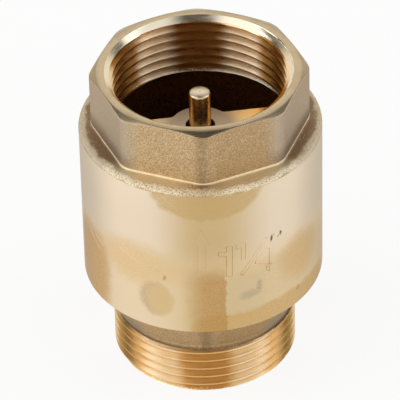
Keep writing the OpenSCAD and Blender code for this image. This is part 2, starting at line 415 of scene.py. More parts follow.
def spot(tree, where, centre, half, soft, corner):
    """Share of a stain with a centre and half size: round at corner 2, square above."""
    away = []
    for value, middle, reach in zip(where, centre, half):
        off = math_of(tree, "DIVIDE", minus(tree, value, middle), reach)
        away.append(math_of(tree, "POWER", math_of(tree, "ABSOLUTE", off), corner))
    return fade(tree, total(tree, *away), 1 - soft, 1 + soft)


# %% Blasted skin
# Sand-blasted casting, with grains drawn at their real size. The zones say where its colour
# changes, in millimetres: round the barrel from the front, up from the foot, or past the
# shoulder's edge. Most of them mark painted shade or painted highlights. A third number is the
# softness of the zone's ends.
GRAIN = 0.3
MOTTLE = 3.5
SHOULDER = SHOULDER_Z / MM

# Painted shade: the side flats, the front corner, the front-right flat, the cone under the barrel,
# the neck and the octagon's foot
SHADED_SIDES = (16.0, 22.0)
SHADED_FRONT_CORNER = (-1.2, 1.6, 1.4)
SHADED_RIGHT_FLAT = (3.0, 19.0, 2.0)
SHADED_UNDER_BARREL = (21.0, 24.0)
SHADED_NECK = (12.4, 13.4)
SHADED_OCTAGON_FOOT = (SHOULDER, SHOULDER + 3.0, 2.0)
# Painted highlight along the crease at the octagon's root
CREASE_HIGHLIGHT = (SHOULDER + 0.2, SHOULDER + 0.46, 0.06)
SHOULDER_TOP = (SHOULDER + 0.1, SHOULDER + 0.3)
LEDGE = (-1.9, -0.9)
FRINGE = (-1.4, 1.0, 0.5)
# Painted highlights on the ledge and the shoulder's fringe in front, and painted shade on the ledge
# at the sides
LIT_LEDGE = (4.0, 22.0, 4.0)
SHADED_LEDGE_SIDES = (20.0, 27.0)
LIT_FRINGE = (5.0, 25.0, 3.0)


def past_shoulder(tree, place, height, mottle):
    """How far past the shoulder's edge a point lies, outwards and down, along a ragged line."""
    out = minus(tree, math_of(tree, "DIVIDE", radius_of(tree, place), MM), BARREL_R / MM)
    ragged = ramp(tree, mottle, 0.2, 0.8, start=-0.7, end=0.7)
    return total(tree, out, minus(tree, SHOULDER, height), ragged)


def blasted_skin(tree, place):
    """Colour, roughness, grain height and metal share of the blasted brass, with painted shade at
    the sides, the corners, the neck and low down, and painted highlights along the shoulder.
    """
    grain = noise_of(tree, place, GRAIN, detail=2.0, roughness=0.65)
    mottle = noise_of(tree, place, MOTTLE)
    around, height = unrolled(tree, place)
    aside = math_of(tree, "ABSOLUTE", around)
    shade = blend_colour(tree, between(tree, mottle), "#D3B78D", "#DBBF94")
    colour = blend_colour(tree, ramp(tree, grain, 0.36, 0.58), "#B2946D", shade)

    # Painted shade: the side flats greyer and darker than the front, darker still low on the cone
    # and at the octagon's foot, and darker on the front corner
    painted_side = ramp(tree, aside, *SHADED_SIDES, end=0.9)
    colour = overlay(tree, colour, "#BFAE98", painted_side)
    colour = overlay(tree, colour, "#8A6C48", band(tree, around, *SHADED_FRONT_CORNER), 0.5)
    low = fade(tree, height, *SHADED_UNDER_BARREL, start=0.3)
    foot = product(tree, band(tree, height, *SHADED_OCTAGON_FOOT), 0.5)
    colour = overlay(tree, colour, "#6E5A45", painted_side, total(tree, low, foot))
    # Painted shade at the neck under the cone, and on the front-right flat
    colour = overlay(tree, colour, "#5A4630", fade(tree, height, *SHADED_NECK, start=0.75))
    colour = overlay(tree, colour, "#A07C50", band(tree, around, *SHADED_RIGHT_FLAT), 0.3)

    past = past_shoulder(tree, place, height, mottle)
    beneath = fade(tree, height, *SHOULDER_TOP)
    ledge = product(tree, fade(tree, past, *LEDGE), beneath)
    # Painted highlight on the ledge in front, and painted shade on the ledge at the sides, where it
    # reflects the brown flats
    colour = overlay(tree, colour, "#FCEAC2", ledge, band(tree, aside, *LIT_LEDGE), 0.8)
    colour = overlay(tree, colour, "#86633E", ledge, ramp(tree, aside, *SHADED_LEDGE_SIDES, end=0.6))
    # Painted highlight: bright grains along the shoulder's rounded fringe in front, with less metal
    # there
    fringe = product(tree, band(tree, past, *FRINGE), beneath)
    lit = ramp(tree, band(tree, aside, *LIT_FRINGE), 0.0, 1.0, start=0.45)
    sparkle = product(tree, fringe, lit, ramp(tree, grain, 0.38, 0.54, start=0.3))
    colour = overlay(tree, colour, "#FFEFCB", sparkle)
    # Painted highlight along the crease at the octagon's root
    colour = overlay(tree, colour, "#FBE6BD", band(tree, height, *CREASE_HIGHLIGHT))

    # Painted glints on single grains
    glint = ramp(tree, grain, 0.63, 0.73)
    colour = overlay(tree, colour, "#F2DFBC", glint)
    relief = product(tree, grain, blend_value(tree, fringe, 1.0, 2.5))
    roughness = blend_value(tree, glint, 0.5, 0.38)
    return colour, roughness, relief, blend_value(tree, sparkle, 1.0, 0.65)


def make_blasted_brass():
    """Brass casting, blasted: brown, grainy and dull, with single grains that glint."""
    material, tree, shader, place = new_material("blasted_cast_brass")
    colour, roughness, relief, metal = blasted_skin(tree, place)
    fill(tree, shader, {"Base Color": colour, "Roughness": roughness, "Metallic": metal,
                        "Normal": bump(tree, relief, 0.13), "Specular Tint": linear("#B9B2A8")})
    return material


# %% Turned barrel with its cast upper edge
TURNED_EDGE = SHOULDER - 0.9
RAGGED_BY = 1.2
TOOL_LINES = (0.03, 0.03, 1.0)
# Painted reflection of the room: a darker gold band across the front, greyer at the sides
REFLECTED_GOLD_LEFT = (-13.0, -1.0)
REFLECTED_GOLD_RIGHT = (3.0, 18.0)
REFLECTED_PALE_SIDE = (20.0, 31.0)
RUN_LEFT = (-6.0, 0.5)
RUN_RIGHT = (4.7, 5.2)
RUN_TOP = (37.0, 43.0)
# Patches on the barrel: stains that handling left, a darker gold patch in front just under the
# shoulder, and dark spots over the inch marks. Columns: colour, centre, half size, softness,
# squareness, share
STAINS = [
    ("#EAD0A2", (0.0, 22.0), (400.0, 21.5), 0.9, 4.0, 0.6),
    ("#D9BB88", (22.0, 27.0), (19.0, 14.0), 0.4, 3.0, 0.6),
    ("#CDAC74", (1.0, 61.8), (12.4, 7.0), 0.16, 2.0, 0.85),
    ("#E3C18A", (-16.0, 40.0), (10.0, 5.5), 0.9, 2.0, 0.8),
    ("#AD8A55", (-11.3, 31.2), (3.8, 4.7), 0.5, 2.0, 0.5),
    ("#E0C18B", (-10.2, 31.3), (3.3, 4.2), 0.55, 2.0, 0.9),
    ("#CDA368", (-32.0, 31.0), (7.6, 11.0), 0.75, 3.0, 0.9),
    ("#CFA96A", (18.0, 23.5), (20.0, 4.5), 0.5, 4.0, 0.8),
    ("#D4B078", (25.0, 37.0), (6.5, 6.0), 0.9, 2.0, 0.75),
    ("#D9C49C", (9.8, 32.6), (4.8, 5.4), 0.4, 8.0, 0.6),
    ("#A3947A", (10.6, 32.3), (2.4, 1.3), 0.95, 2.0, 0.45),
    ("#8F8069", (12.8, 34.1), (0.6, 1.5), 0.95, 2.0, 0.4),
    ("#4A3A28", (16.2, 46.1), (0.28, 0.8), 0.5, 2.0, 0.85),
    ("#4A3A28", (18.4, 46.1), (0.28, 0.8), 0.5, 2.0, 0.7),
    ("#8F7A58", (24.4, 27.6), (0.7, 0.7), 0.9, 2.0, 0.35),
    ("#7A6038", (-8.9, 37.9), (0.5, 0.35), 0.9, 2.0, 0.5)]


def turned_colour(tree, place):
    """Colour of the turned brass: a painted reflection, darker gold in front and paler at the
    sides, and stains here and there.
    """
    bent = noise_of(tree, place, 3.0, detail=5.0, roughness=0.65)
    around, height = unrolled(tree, place)
    drift = ramp(tree, bent, 0.25, 0.75, kind="LINEAR", start=-0.7, end=0.7)
    where = total(tree, around, drift), total(tree, height, drift)
    # Painted reflection: greyer at the sides and darker gold across the front
    painted_side = ramp(tree, math_of(tree, "ABSOLUTE", around), *REFLECTED_PALE_SIDE)
    colour = blend_colour(tree, painted_side, "#EEDBC0", "#DDCCB2")
    colour = overlay(tree, colour, "#D5BA89",
                     ramp(tree, around, *REFLECTED_GOLD_LEFT), fade(tree, around, *REFLECTED_GOLD_RIGHT))
    speckle = ramp(tree, noise_of(tree, place, GRAIN, detail=1.0), 0.4, 0.6, start=0.7)
    for stain, centre, half, soft, corner, share in STAINS:
        covered = spot(tree, where, centre, half, soft, corner)
        colour = overlay(tree, colour, stain, covered, share, speckle)
    run = product(tree, ramp(tree, where[0], *RUN_LEFT), fade(tree, where[0], *RUN_RIGHT),
                  fade(tree, where[1], *RUN_TOP, start=0.8))
    return overlay(tree, colour, "#BE9050", run, speckle)


def make_turned_brass():
    """Turned brass: satin, its gloss stretched upwards by the tool lines, cast skin at the top."""
    material, tree, shader, place = new_material("turned_cast_brass")
    cast_colour, cast_roughness, grain, metal = blasted_skin(tree, place)
    ragged = product(tree, noise_of(tree, place, 0.5, detail=2.0), RAGGED_BY)
    line = total(tree, unrolled(tree, place)[1], ragged)
    cast = ramp(tree, line, TURNED_EDGE + 0.5, TURNED_EDGE + 0.7)
    lines = noise_of(tree, place, 0.22, detail=4.0, roughness=0.6, stretch=TOOL_LINES)
    satin = ramp(tree, lines, 0.3, 0.7, kind="LINEAR", start=0.36, end=0.44)
    relief = blend_value(tree, cast, product(tree, lines, 0.03), grain)
    fill(tree, shader, {
        "Base Color": blend_colour(tree, cast, turned_colour(tree, place), cast_colour),
        "Roughness": blend_value(tree, cast, satin, cast_roughness),
        "Metallic": blend_value(tree, cast, 1.0, metal),
        "Normal": bump(tree, relief, 0.1), "Specular Tint": linear("#D0D1D6")})
    stretch_gloss(tree, shader, 0.7)
    return material


# %% Faced brass
def make_faced_brass():
    """Brass faced on the lathe: flat, satin, with fine rings round the axis."""
    material, tree, shader, place = new_material("faced_brass")
    rings = add(tree, "ShaderNodeTexNoise", {
        "W": radius_of(tree, place), "Scale": per_mm(0.12), "Detail": 3.0},
        noise_dimensions="1D").outputs[0]
    clouds = noise_of(tree, place, 4.0)
    fill(tree, shader, {
        "Base Color": blend_colour(tree, between(tree, clouds), "#B9A789", "#AF9B7C"),
        "Roughness": between(tree, rings, 0.22, 0.3),
        "Normal": bump(tree, rings, 0.004), "Metallic": 1.0})
    return material


def make_bridge_brass():
    """Bridge faced on the lathe: grey round the stem, with a painted reflection of the gold thread
    out on the arms.
    """
    material, tree, shader, place = new_material("faced_bridge_brass")
    cloud = noise_of(tree, place, 1.5, detail=4.0)
    ragged_reach = total(tree, radius_of(tree, place), product(tree, cloud, MM))
    # Painted reflection: the arms pale gold where they reflect the thread, from a ragged radius
    # outwards
    bright = ramp(tree, ragged_reach, 6.6 * MM, 11.0 * MM)
    fill(tree, shader, {
        "Base Color": blend_colour(tree, bright, "#C8B79C", "#FFEBB6"),
        "Roughness": blend_value(tree, bright, 0.42, 0.3),
        "Normal": bump(tree, cloud, 0.01), "Metallic": 1.0})
    return material


# %% Threaded brass
# Painted reflection stripes round the thread, and how far above the torn foot its painted highlight
# reaches
REFLECTION_STRIPES_ROUND = 6
TORN_EDGE_HIGHLIGHT = 0.6


def make_threaded_brass(name, pale, deep, edge):
    """Brass with a cut thread: gold with painted reflection stripes round it, glossy, with a
    painted highlight along its torn foot.
    """
    material, tree, shader, place = new_material(name)
    marks = noise_of(tree, place, 0.15, detail=2.0, stretch=(0.04, 0.04, 1.0))
    clouds = noise_of(tree, place, 5.0)
    around, height = unrolled(tree, place)
    # Painted reflection: light and dark stripes round the thread, broken up by clouds
    wave = math_of(tree, "COSINE", product(tree, around, REFLECTION_STRIPES_ROUND * MM / BARREL_R))
    reflection_stripe = total(tree, wave, minus(tree, clouds, 0.5))
    torn = total(tree, height, noise_of(tree, place, 0.6))
    colour = blend_colour(tree, ramp(tree, reflection_stripe, -0.75, 0.35), pale, deep)
    # Painted highlight along the torn foot of the thread
    colour = overlay(tree, colour, "#FFF0CE",
                     fade(tree, torn, edge + TORN_EDGE_HIGHLIGHT, edge + TORN_EDGE_HIGHLIGHT + 0.3))
    fill(tree, shader, {
        "Base Color": colour, "Roughness": between(tree, marks, 0.27, 0.33),
        "Normal": bump(tree, marks, 0.002), "Metallic": 1.0, "Specular Tint": linear("#A8957C")})
    stretch_gloss(tree, shader, 0.9)
    return material


# %% Dark core
def make_core_brass():
    """Brass inside the core: never blasted, so it keeps its dark oxide and the sand's texture."""
    material, tree, shader, place = new_material("oxidised_core_brass")
    grain = noise_of(tree, place, 0.6)
    fill(tree, shader, {
        "Base Color": blend_colour(tree, between(tree, grain), "#4E2A12", "#7E4C22"),
        "Normal": bump(tree, grain, 0.15), "Metallic": 0.8, "Roughness": 0.55})
    return material


# %% Drawn rod, pressed sheet, rubber and spring wire
def make_simple_metal(name, dark, pale, roughness, mark_size):
    """Drawn or pressed metal: bright, even, with fine marks of one size."""
    material, tree, shader, place = new_material(name)
    marks = noise_of(tree, place, mark_size, stretch=(0.15, 0.15, 1.0))
    fill(tree, shader, {
        "Base Color": blend_colour(tree, between(tree, marks), dark, pale),
        "Roughness": between(tree, marks, roughness, roughness + 0.08),
        "Normal": bump(tree, marks, 0.004), "Metallic": 1.0})
    return material


def make_rubber():
    """Nitrile rubber: black, dull, with a faint bloom."""
    material, tree, shader, place = new_material("nitrile_rubber")
    bloom = noise_of(tree, place, 1.2, detail=4.0)
    fill(tree, shader, {
        "Base Color": blend_colour(tree, ramp(tree, bloom, 0.4, 0.8), "#17181A", "#2A2B2D"),
        "Roughness": ramp(tree, bloom, 0.3, 0.8, start=0.5, end=0.68),
        "Normal": bump(tree, bloom, 0.02), "IOR": 1.52})
    return material


blasted_brass = make_blasted_brass()
turned_brass = make_turned_brass()
faced_brass = make_faced_brass()
bridge_brass = make_bridge_brass()
bore_brass = make_threaded_brass("threaded_brass_bore", "#FFE3BA", "#AE783C", SOCKET_Z / MM)
tail_brass = make_threaded_brass("threaded_brass_tail", "#F5DBB2", "#DCB376", 0.0)
core_brass = make_core_brass()
mouth_brass = make_simple_metal("chamfered_brass", "#F5E6C8", "#F9ECD2", 0.16, 0.5)
rod_end_brass = make_simple_metal("sawn_rod_end_brass", "#D2C1A6", "#DCCDB4", 0.3, 0.12)
rod_brass = make_simple_metal("drawn_rod_brass", "#E3BC78", "#F0D096", 0.26, 0.1)
sheet_brass = make_simple_metal("pressed_sheet_brass", "#D6AE6A", "#E2BE80", 0.24, 0.25)
spring_steel = make_simple_metal("stainless_spring_wire", "#B9B7B2", "#CFCDC8", 0.2, 0.1)
rubber = make_rubber()
print("Finishes:", len(bpy.data.materials))

# %% [markdown]
# ## Pipe threads
#
# Both ends carry the same parallel pipe thread, 11 turns to the inch, inside at the top and outside
# at the bottom. A thread is the textbook case of a shape that follows a rule: the radius depends
# only on the height and the angle. Geometry Nodes can state that rule once. The tree lays a grid
# round the axis, slants its rows so that they run along the helix, and moves each point to the
# radius that the thread has there. Slopes at the ends cut the chamfer, the mouth and the run-out.

# %% Thread tree
def new_tree(name, inputs):
    """An empty geometry tree with named inputs and one geometry output."""
    tree = bpy.data.node_groups.new(name, "GeometryNodeTree")
    for label, kind in inputs:
        tree.interface.new_socket(name=label, in_out="INPUT", socket_type="NodeSocket" + kind)
    tree.interface.new_socket(name="Geometry", in_out="OUTPUT", socket_type="NodeSocketGeometry")
    return tree


def finish_tree(tree, geometry, given):
    """End a tree with shading, real geometry and the material that it was given."""
    soft = add(tree, "GeometryNodeSetShadeSmooth", {"Geometry": geometry}).outputs[0]
    real = add(tree, "GeometryNodeRealizeInstances", {"Geometry": soft}).outputs[0]
    painted = add(tree, "GeometryNodeSetMaterial", {
        "Geometry": real, "Material": given["Material"]})
    add(tree, "NodeGroupOutput", {0: painted.outputs[0]})


def grow(name, tree, values):
    """Run a tree with these inputs and keep its result as a plain mesh."""
    piece = new_piece(name, bpy.data.meshes.new(name))
    step = piece.modifiers.new("grow", "NODES")
    step.node_group = tree
    for item in tree.interface.items_tree:
        if item.in_out == "INPUT":
            step[item.identifier] = values[item.name]
    return keep_result(piece)


ROWS_PER_TURN = 24


def make_thread_tree():
    """A thread's surface between two heights, with its crest and root at given radii."""
    tree = new_tree("pipe_thread", [
        ("Crest Radius", "Float"), ("Root Radius", "Float"), ("Pitch", "Float"), ("Flat", "Float"),
        ("Phase", "Float"), ("Low", "Float"), ("High", "Float"), ("Start Radius", "Float"),
        ("Start Slope", "Float"), ("End Radius", "Float"), ("End Slope", "Float"),
        ("Columns", "Int"), ("Material", "Material")])
    given = add(tree, "NodeGroupInput").outputs

    length = minus(tree, given["High"], given["Low"])
    turns = math_of(tree, "CEIL", math_of(tree, "DIVIDE", length, given["Pitch"]))
    turns = total(tree, turns, 2.0)
    rows = total(tree, product(tree, turns, ROWS_PER_TURN), 1.0)
    columns = total(tree, given["Columns"], 1.0)
    grid = add(tree, "GeometryNodeMeshGrid",
               {"Size X": 1.0, "Size Y": 1.0, "Vertices X": columns, "Vertices Y": rows}).outputs[0]

    position = add(tree, "GeometryNodeInputPosition").outputs[0]
    part = add(tree, "ShaderNodeSeparateXYZ", {0: position})
    around = total(tree, part.outputs[0], 0.5)
    along = product(tree, total(tree, part.outputs[1], 0.5), turns)

    below = math_of(tree, "DIVIDE", minus(tree, given["Low"], given["Phase"]), given["Pitch"])
    first = minus(tree, math_of(tree, "FLOOR", below), 1.0)
    helix = total(tree, first, along, around)
    height = total(tree, product(tree, helix, given["Pitch"]), given["Phase"])
    height = math_of(tree, "MAXIMUM", math_of(tree, "MINIMUM", height, given["High"]), given["Low"])

    rise = math_of(tree, "DIVIDE", minus(tree, height, given["Phase"]), given["Pitch"])
    share = math_of(tree, "FRACT", minus(tree, rise, around))
    crest = product(tree, math_of(tree, "ABSOLUTE", minus(tree, share, 0.5)), 2.0)
    flat = math_of(tree, "DIVIDE", given["Flat"], given["Pitch"])
    radius = add(tree, "ShaderNodeMapRange", {
        "Value": crest, "From Min": flat, "From Max": minus(tree, 1.0, flat),
        "To Min": given["Root Radius"], "To Max": given["Crest Radius"]}).outputs[0]

    from_low = minus(tree, height, given["Low"])
    start = total(tree, given["Start Radius"], product(tree, from_low, given["Start Slope"]))
    radius = math_of(tree, "MINIMUM", radius, start)
    to_high = product(tree, minus(tree, given["High"], height), given["End Slope"])
    radius = math_of(tree, "MAXIMUM", radius, minus(tree, given["End Radius"], to_high))
    radius = math_of(tree, "MINIMUM", radius, total(tree, given["End Radius"], to_high))

    angle = product(tree, around, 2 * math.pi)
    place = add(tree, "ShaderNodeCombineXYZ", {
        0: product(tree, radius, math_of(tree, "COSINE", angle)),
        1: product(tree, radius, math_of(tree, "SINE", angle)), 2: height}).outputs[0]
    wrapped = add(tree, "GeometryNodeSetPosition", {"Geometry": grid, "Position": place}).outputs[0]
    merged = add(tree, "GeometryNodeMergeByDistance", {
        "Geometry": wrapped, "Distance": MERGE_DISTANCE}).outputs[0]
    finish_tree(tree, merged, given)
    return tree


thread_tree = make_thread_tree()

# %% Both threads
# The crests were counted off at the back of the bore and at the front of the tail.
BORE_CREST_Z = 72.9 * MM
TAIL_CREST_Z = 11.32 * MM
QUARTER = 0.25
NO_LIMIT = 1.0

mouth_slope = (MOUTH_R - MINOR_R) / MOUTH_DEPTH
bore_thread = grow("bore_thread", thread_tree, {
    "Crest Radius": MINOR_R, "Root Radius": MAJOR_R, "Pitch": PITCH, "Flat": THREAD_FLAT,
    "Phase": BORE_CREST_Z - QUARTER * PITCH, "Low": SOCKET_Z, "High": TOP_Z,
    "Start Radius": NO_LIMIT, "Start Slope": 0.0, "End Radius": MOUTH_R, "End Slope": mouth_slope,
    "Columns": COLUMNS, "Material": bore_brass})

RUN_OUT_SLOPE = 2.0
neck_z = MALE_LEN + (MAJOR_R - NECK_R) / RUN_OUT_SLOPE
tail_thread = grow("tail_thread", thread_tree, {
    "Crest Radius": MAJOR_R, "Root Radius": MINOR_R, "Pitch": PITCH, "Flat": THREAD_FLAT,
    "Phase": TAIL_CREST_Z + QUARTER * PITCH, "Low": 0.0, "High": neck_z,
    "Start Radius": MAJOR_R - MALE_CHAMFER, "Start Slope": 1.0, "End Radius": NECK_R,
    "End Slope": RUN_OUT_SLOPE, "Columns": COLUMNS, "Material": tail_brass})
print("Thread faces:", len(bore_thread.data.polygons), len(tail_thread.data.polygons))

# %% [markdown]
# ## Upper casting
#
# The upper half is one casting: eight spanner flats, a shoulder, the barrel, and inside it a bridge
# that guides the stem. The outside is turned from one outline whose radius follows an octagon with
# round corners, so flats, crown, root fillet and shoulder join without a seam. The bridge is a
# rough cast shape: it is laid down as plain blocks, melted together by a voxel remesh, and
# only then faced flat and bored, which is the order that the foundry and the lathe work in.

# %% Octagon
def octagon(offset=0.0):
    """Radius of the octagon's outline at an angle, moved outwards by an offset."""
    reach = (FLAT_R - CORNER_R) / math.cos(math.pi / 8)
    corner = CORNER_R + offset
    limit = math.atan2(corner * math.sin(math.pi / 8), reach + corner * math.cos(math.pi / 8))

    def radius(angle):
        off_corner = (angle - OCTAGON_TURN + math.pi / 8) % (math.pi / 4) - math.pi / 8
        if abs(off_corner) > limit:
            return (FLAT_R + offset) / math.cos(math.pi / 8 - abs(off_corner))
        across = reach * math.sin(off_corner)
        return reach * math.cos(off_corner) + math.sqrt(corner ** 2 - across ** 2)

    return radius


def crown_height(share):
    """Radius and height on the crown, a share of the way from the face to the octagon's edge."""
    edge = octagon()

    def radius(angle):
        return CROWN_R + (edge(angle) - CROWN_BREAK - CROWN_R) * share

    def height(angle):
        return TOP_Z - (radius(angle) - CROWN_R) * CROWN_SLOPE

    return radius, height


# %% Outside and inside of the upper casting
CROWN_STEPS = 3
FLAT_STEPS = 6
FILLET_STEPS = 4
SHOULDER_STEPS = 8
BARREL_SHARES = (0.25, 0.5, 0.75)


def outlet_rows():
    """Outline of the upper casting, from the mouth over the outside and up the inside."""
    rows = [(MOUTH_R, TOP_Z)]
    rows += [crown_height(step / CROWN_STEPS) for step in range(CROWN_STEPS + 1)]
    crown_z = crown_height(1.0)[1]
    foot_z = SHOULDER_Z + ROOT_FILLET
    for step in range(FLAT_STEPS + 1):
        share = step / FLAT_STEPS
        rows.append((octagon(), lambda angle, share=share:
                     (crown_z(angle) - CROWN_BREAK) * (1 - share) + foot_z * share))
    for step in range(1, FILLET_STEPS + 1):
        bend = math.pi / 2 * step / FILLET_STEPS
        out = ROOT_FILLET * (1 - math.cos(bend))
        rows.append((octagon(out), foot_z - ROOT_FILLET * math.sin(bend)))
    edge = arc(0.0, SHOULDER_Z - SHOULDER_ROUND, SHOULDER_ROUND, 90, 0, SHOULDER_STEPS)
    for out, height in edge:
        rows.append((BARREL_R + (out / SHOULDER_ROUND - 1) * SHOULDER_REACH, height))
    rows += [(BARREL_R, SHOULDER_Z + (JOINT_Z - SHOULDER_Z) * share) for share in BARREL_SHARES]
    rows += [(BARREL_R, JOINT_Z + EDGE_BREAK), (BARREL_R - EDGE_BREAK, JOINT_Z)]
    rows += [(JOINT_R, JOINT_Z), (JOINT_R, STEP_Z), (CHAMBER_R, STEP_Z)]
    rows += [(CHAMBER_R, SOCKET_Z - CORE_TAPER), (CORE_R, SOCKET_Z - CORE_STEP / 2)]
    return rows + [(CORE_R, SOCKET_Z)]


def join_thread(mesh, thread, height):
    """Bring a thread's surface into a turned mesh, and close the ring between them at a height."""
    mesh.from_mesh(thread.data)
    bpy.data.objects.remove(thread)
    bmesh.ops.remove_doubles(mesh, verts=mesh.verts, dist=MERGE_DISTANCE)
    open_edges = [edge for edge in mesh.edges
                  if edge.is_boundary and abs(edge.verts[0].co.z - height) < MERGE_DISTANCE]
    bmesh.ops.bridge_loops(mesh, edges=open_edges)
    close_up(mesh)


work = bmesh.new()
turn(work, outlet_rows())
join_thread(work, bore_thread, SOCKET_Z)
casting = new_piece("outlet_casting", to_mesh(work, "outlet_casting"))
print("Upper casting before the bridge:", len(casting.data.polygons), "faces")

# %% [markdown]
# The barrel carries what such valves need in use: an arrow that shows the flow, and the size of its
# thread in inches. Both are thin outlines, engraved after turning. Each outline is a list of places
# on the unrolled barrel, and a small V-shaped cutter follows it round the curve. A few scratches
# from the workshop are cut in the same way, only shallower.

# %% Marks on the barrel
# Each mark: width and depth of its cut in millimetres, whether its outline is closed, its places
CUTTER_ABOVE = 0.05
MARK = (0.3, 0.16)
FAINT_MARK = (0.3, 0.09)
ARROW_MARK = (0.3, 0.05)
INCH_MARK = (0.39, 0.48)
SCRATCH = (0.26, 0.07)
MARKS = [
    (FAINT_MARK, True, [(3.35, 45.7), (5.14, 45.4), (5.17, 47.1), (6.53, 46.85), (6.4, 38.3),
                        (5.04, 38.6), (5.12, 44.3), (3.33, 44.6)]),
    (FAINT_MARK, True, [(7.45, 46.9), (8.39, 47.5), (9.56, 47.2), (9.49, 42.1), (8.55, 42.4),
                        (8.6, 46.05), (7.43, 45.8)]),
    (MARK, True, [(8.26, 38.45), (14.52, 46.8), (15.12, 46.25), (8.86, 37.95)]),
    (ARROW_MARK, False, [(-1.42, 40.3), (-1.27, 47.95), (-2.37, 47.9), (-0.37, 52.4),
                         (1.38, 47.85), (0.5, 47.9), (0.38, 41.1)]),
    (MARK, False, [(16.2, 38.5), (15.5, 38.8), (11.9, 40.2), (11.9, 41.0), (14.75, 43.6),
                   (15.5, 43.3), (15.45, 36.9), (14.75, 37.2), (14.75, 38.9)]),
    (INCH_MARK, False, [(15.84, 45.6), (16.81, 46.9)]),
    (INCH_MARK, False, [(17.78, 45.5), (18.95, 46.7)]),
    (SCRATCH, False, [(-32.9, 40.5), (-27.6, 37.3)]),
    (SCRATCH, False, [(-29.4, 40.7), (-26.2, 39.2)]),
    (SCRATCH, False, [(-19.4, 43.0), (-9.9, 39.4)]),
    (SCRATCH, False, [(-17.5, 41.4), (-8.6, 38.6)]),
    (SCRATCH, False, [(-20.6, 42.2), (-12.0, 39.0)])]


def on_barrel(around, height, lift):
    """Point this far round the barrel and this high, lifted off its wall; all in millimetres."""
    angle = around * MM / BARREL_R
    out = BARREL_R + lift * MM
    return out * math.sin(angle), -out * math.cos(angle), height * MM


def stepped(path, closed):
    """The same path with a point every millimetre or so, so that it can follow the curve."""
    corners = [Vector(point) for point in path]
    points = []
    for start, end in zip(corners, corners[1:] + corners[:1] if closed else corners[1:]):
        steps = math.ceil((end - start).length)
        points += [start.lerp(end, step / steps) for step in range(steps)]
    return points if closed else points + corners[-1:]


def engraver(path, width, depth, closed):
    """A V-shaped cutter that follows a path on the barrel, with mitred corners."""
    mesh = bmesh.new()
    points = stepped(path, closed)
    count = len(points)
    sections = []
    for i, point in enumerate(points):
        before = (point - points[i - 1]).normalized() if closed or i > 0 else None
        after = (points[(i + 1) % count] - point).normalized() if closed or i < count - 1 else None
        before, after = before or after, after or before
        along = (before + after).normalized()
        side = Vector((-along.y, along.x)) * width / 2 / max(0.5, along.dot(after))
        places = [(point + side, CUTTER_ABOVE), (point - side, CUTTER_ABOVE), (point, -depth)]
        sections.append([mesh.verts.new(on_barrel(flat.x, flat.y, lift)) for flat, lift in places])
    for i in range(count if closed else count - 1):
        here, there = sections[i], sections[(i + 1) % count]
        for j in range(3):
            k = (j + 1) % 3
            mesh.faces.new((here[j], here[k], there[k], there[j]))
    if not closed:
        mesh.faces.new(sections[0])
        mesh.faces.new(sections[-1])
    bmesh.ops.triangulate(mesh, faces=mesh.faces)
    bmesh.ops.recalc_face_normals(mesh, faces=mesh.faces)
    return new_piece("engraver", to_mesh(mesh, "engraver"))


for (width, depth), closed, path in MARKS:
    combine(casting, engraver(path, width, depth, closed), "DIFFERENCE")
print("Upper casting with its marks:", len(casting.data.polygons), "faces")

# %% Bridge
VOXEL = 0.35 * MM
SPARE = 1.5 * MM
SOFTENING = 0.5
SOFTENING_ROUNDS = 12
CYLINDER_SIDES = 96


def block(mesh, section, start, end, angle):
    """A bar with this section, lying along the X axis turned by an angle."""
    spin = Matrix.Rotation(angle, 3, "Z")
    ends = []
    for x in (start, end):
        ends.append([mesh.verts.new(spin @ Vector((x, y, z))) for y, z in section])
    mesh.faces.new(list(reversed(ends[0])))
    mesh.faces.new(ends[1])
    count = len(section)
    for i in range(count):
        j = (i + 1) % count
        mesh.faces.new((ends[0][i], ends[0][j], ends[1][j], ends[1][i]))


def cylinder(name, radius, low, high):
    """A closed round bar on the axis."""
    mesh = bmesh.new()
    place = Matrix.Translation((0, 0, (low + high) / 2))
    bmesh.ops.create_cone(mesh, cap_ends=True, segments=CYLINDER_SIDES, radius1=radius,
                          radius2=radius, depth=high - low, matrix=place)
    return new_piece(name, to_mesh(mesh, name))


def make_bridge():
    """Hub and two arms, melted together, then faced on top and bored."""
    arms = bmesh.new()
    half, foot = ARM_W / 2, ARM_FOOT_W / 2
    low, high = HUB_TOP - ARM_H, HUB_TOP + SPARE
    section = [(-foot, low), (foot, low), (half, high), (-half, high)]
    reach = CHAMBER_R + 0.5 * MM
    block(arms, section, -reach, reach, ARM_TURN)
    bridge = new_piece("bridge", to_mesh(arms, "bridge"))
    combine(bridge, cylinder("hub", HUB_R, HUB_TOP - HUB_H, HUB_TOP + SPARE), "UNION")
    melt = bridge.modifiers.new("melt", "REMESH")
    melt.mode = "VOXEL"
    melt.voxel_size = VOXEL
    soften = bridge.modifiers.new("soften", "SMOOTH")
    soften.factor = SOFTENING
    soften.iterations = SOFTENING_ROUNDS
    keep_result(bridge)
    facing = cylinder("facing", 2 * HUB_R + reach, HUB_TOP, HUB_TOP + 3 * SPARE)
    combine(bridge, facing, "DIFFERENCE")
    drill = cylinder("guide_drill", GUIDE_R, HUB_TOP - 2 * HUB_H, HUB_TOP + SPARE)
    combine(bridge, drill, "DIFFERENCE")
    return bridge


bridge = make_bridge()
print("Bridge:", len(bridge.data.polygons), "faces")
combine(casting, bridge, "UNION")
print("Upper casting:", len(casting.data.polygons), "faces")

# %% Finish of each face of the upper casting
def paint(piece, materials, choose):
    """Give every face the finish that a rule picks from its place and direction."""
    piece.data.materials.clear()
    for material in materials:
        piece.data.materials.append(material)
    for face in piece.data.polygons:
        out = math.hypot(face.center.x, face.center.y)
        face.material_index = materials.index(choose(out, face.center.z, face.normal.z))


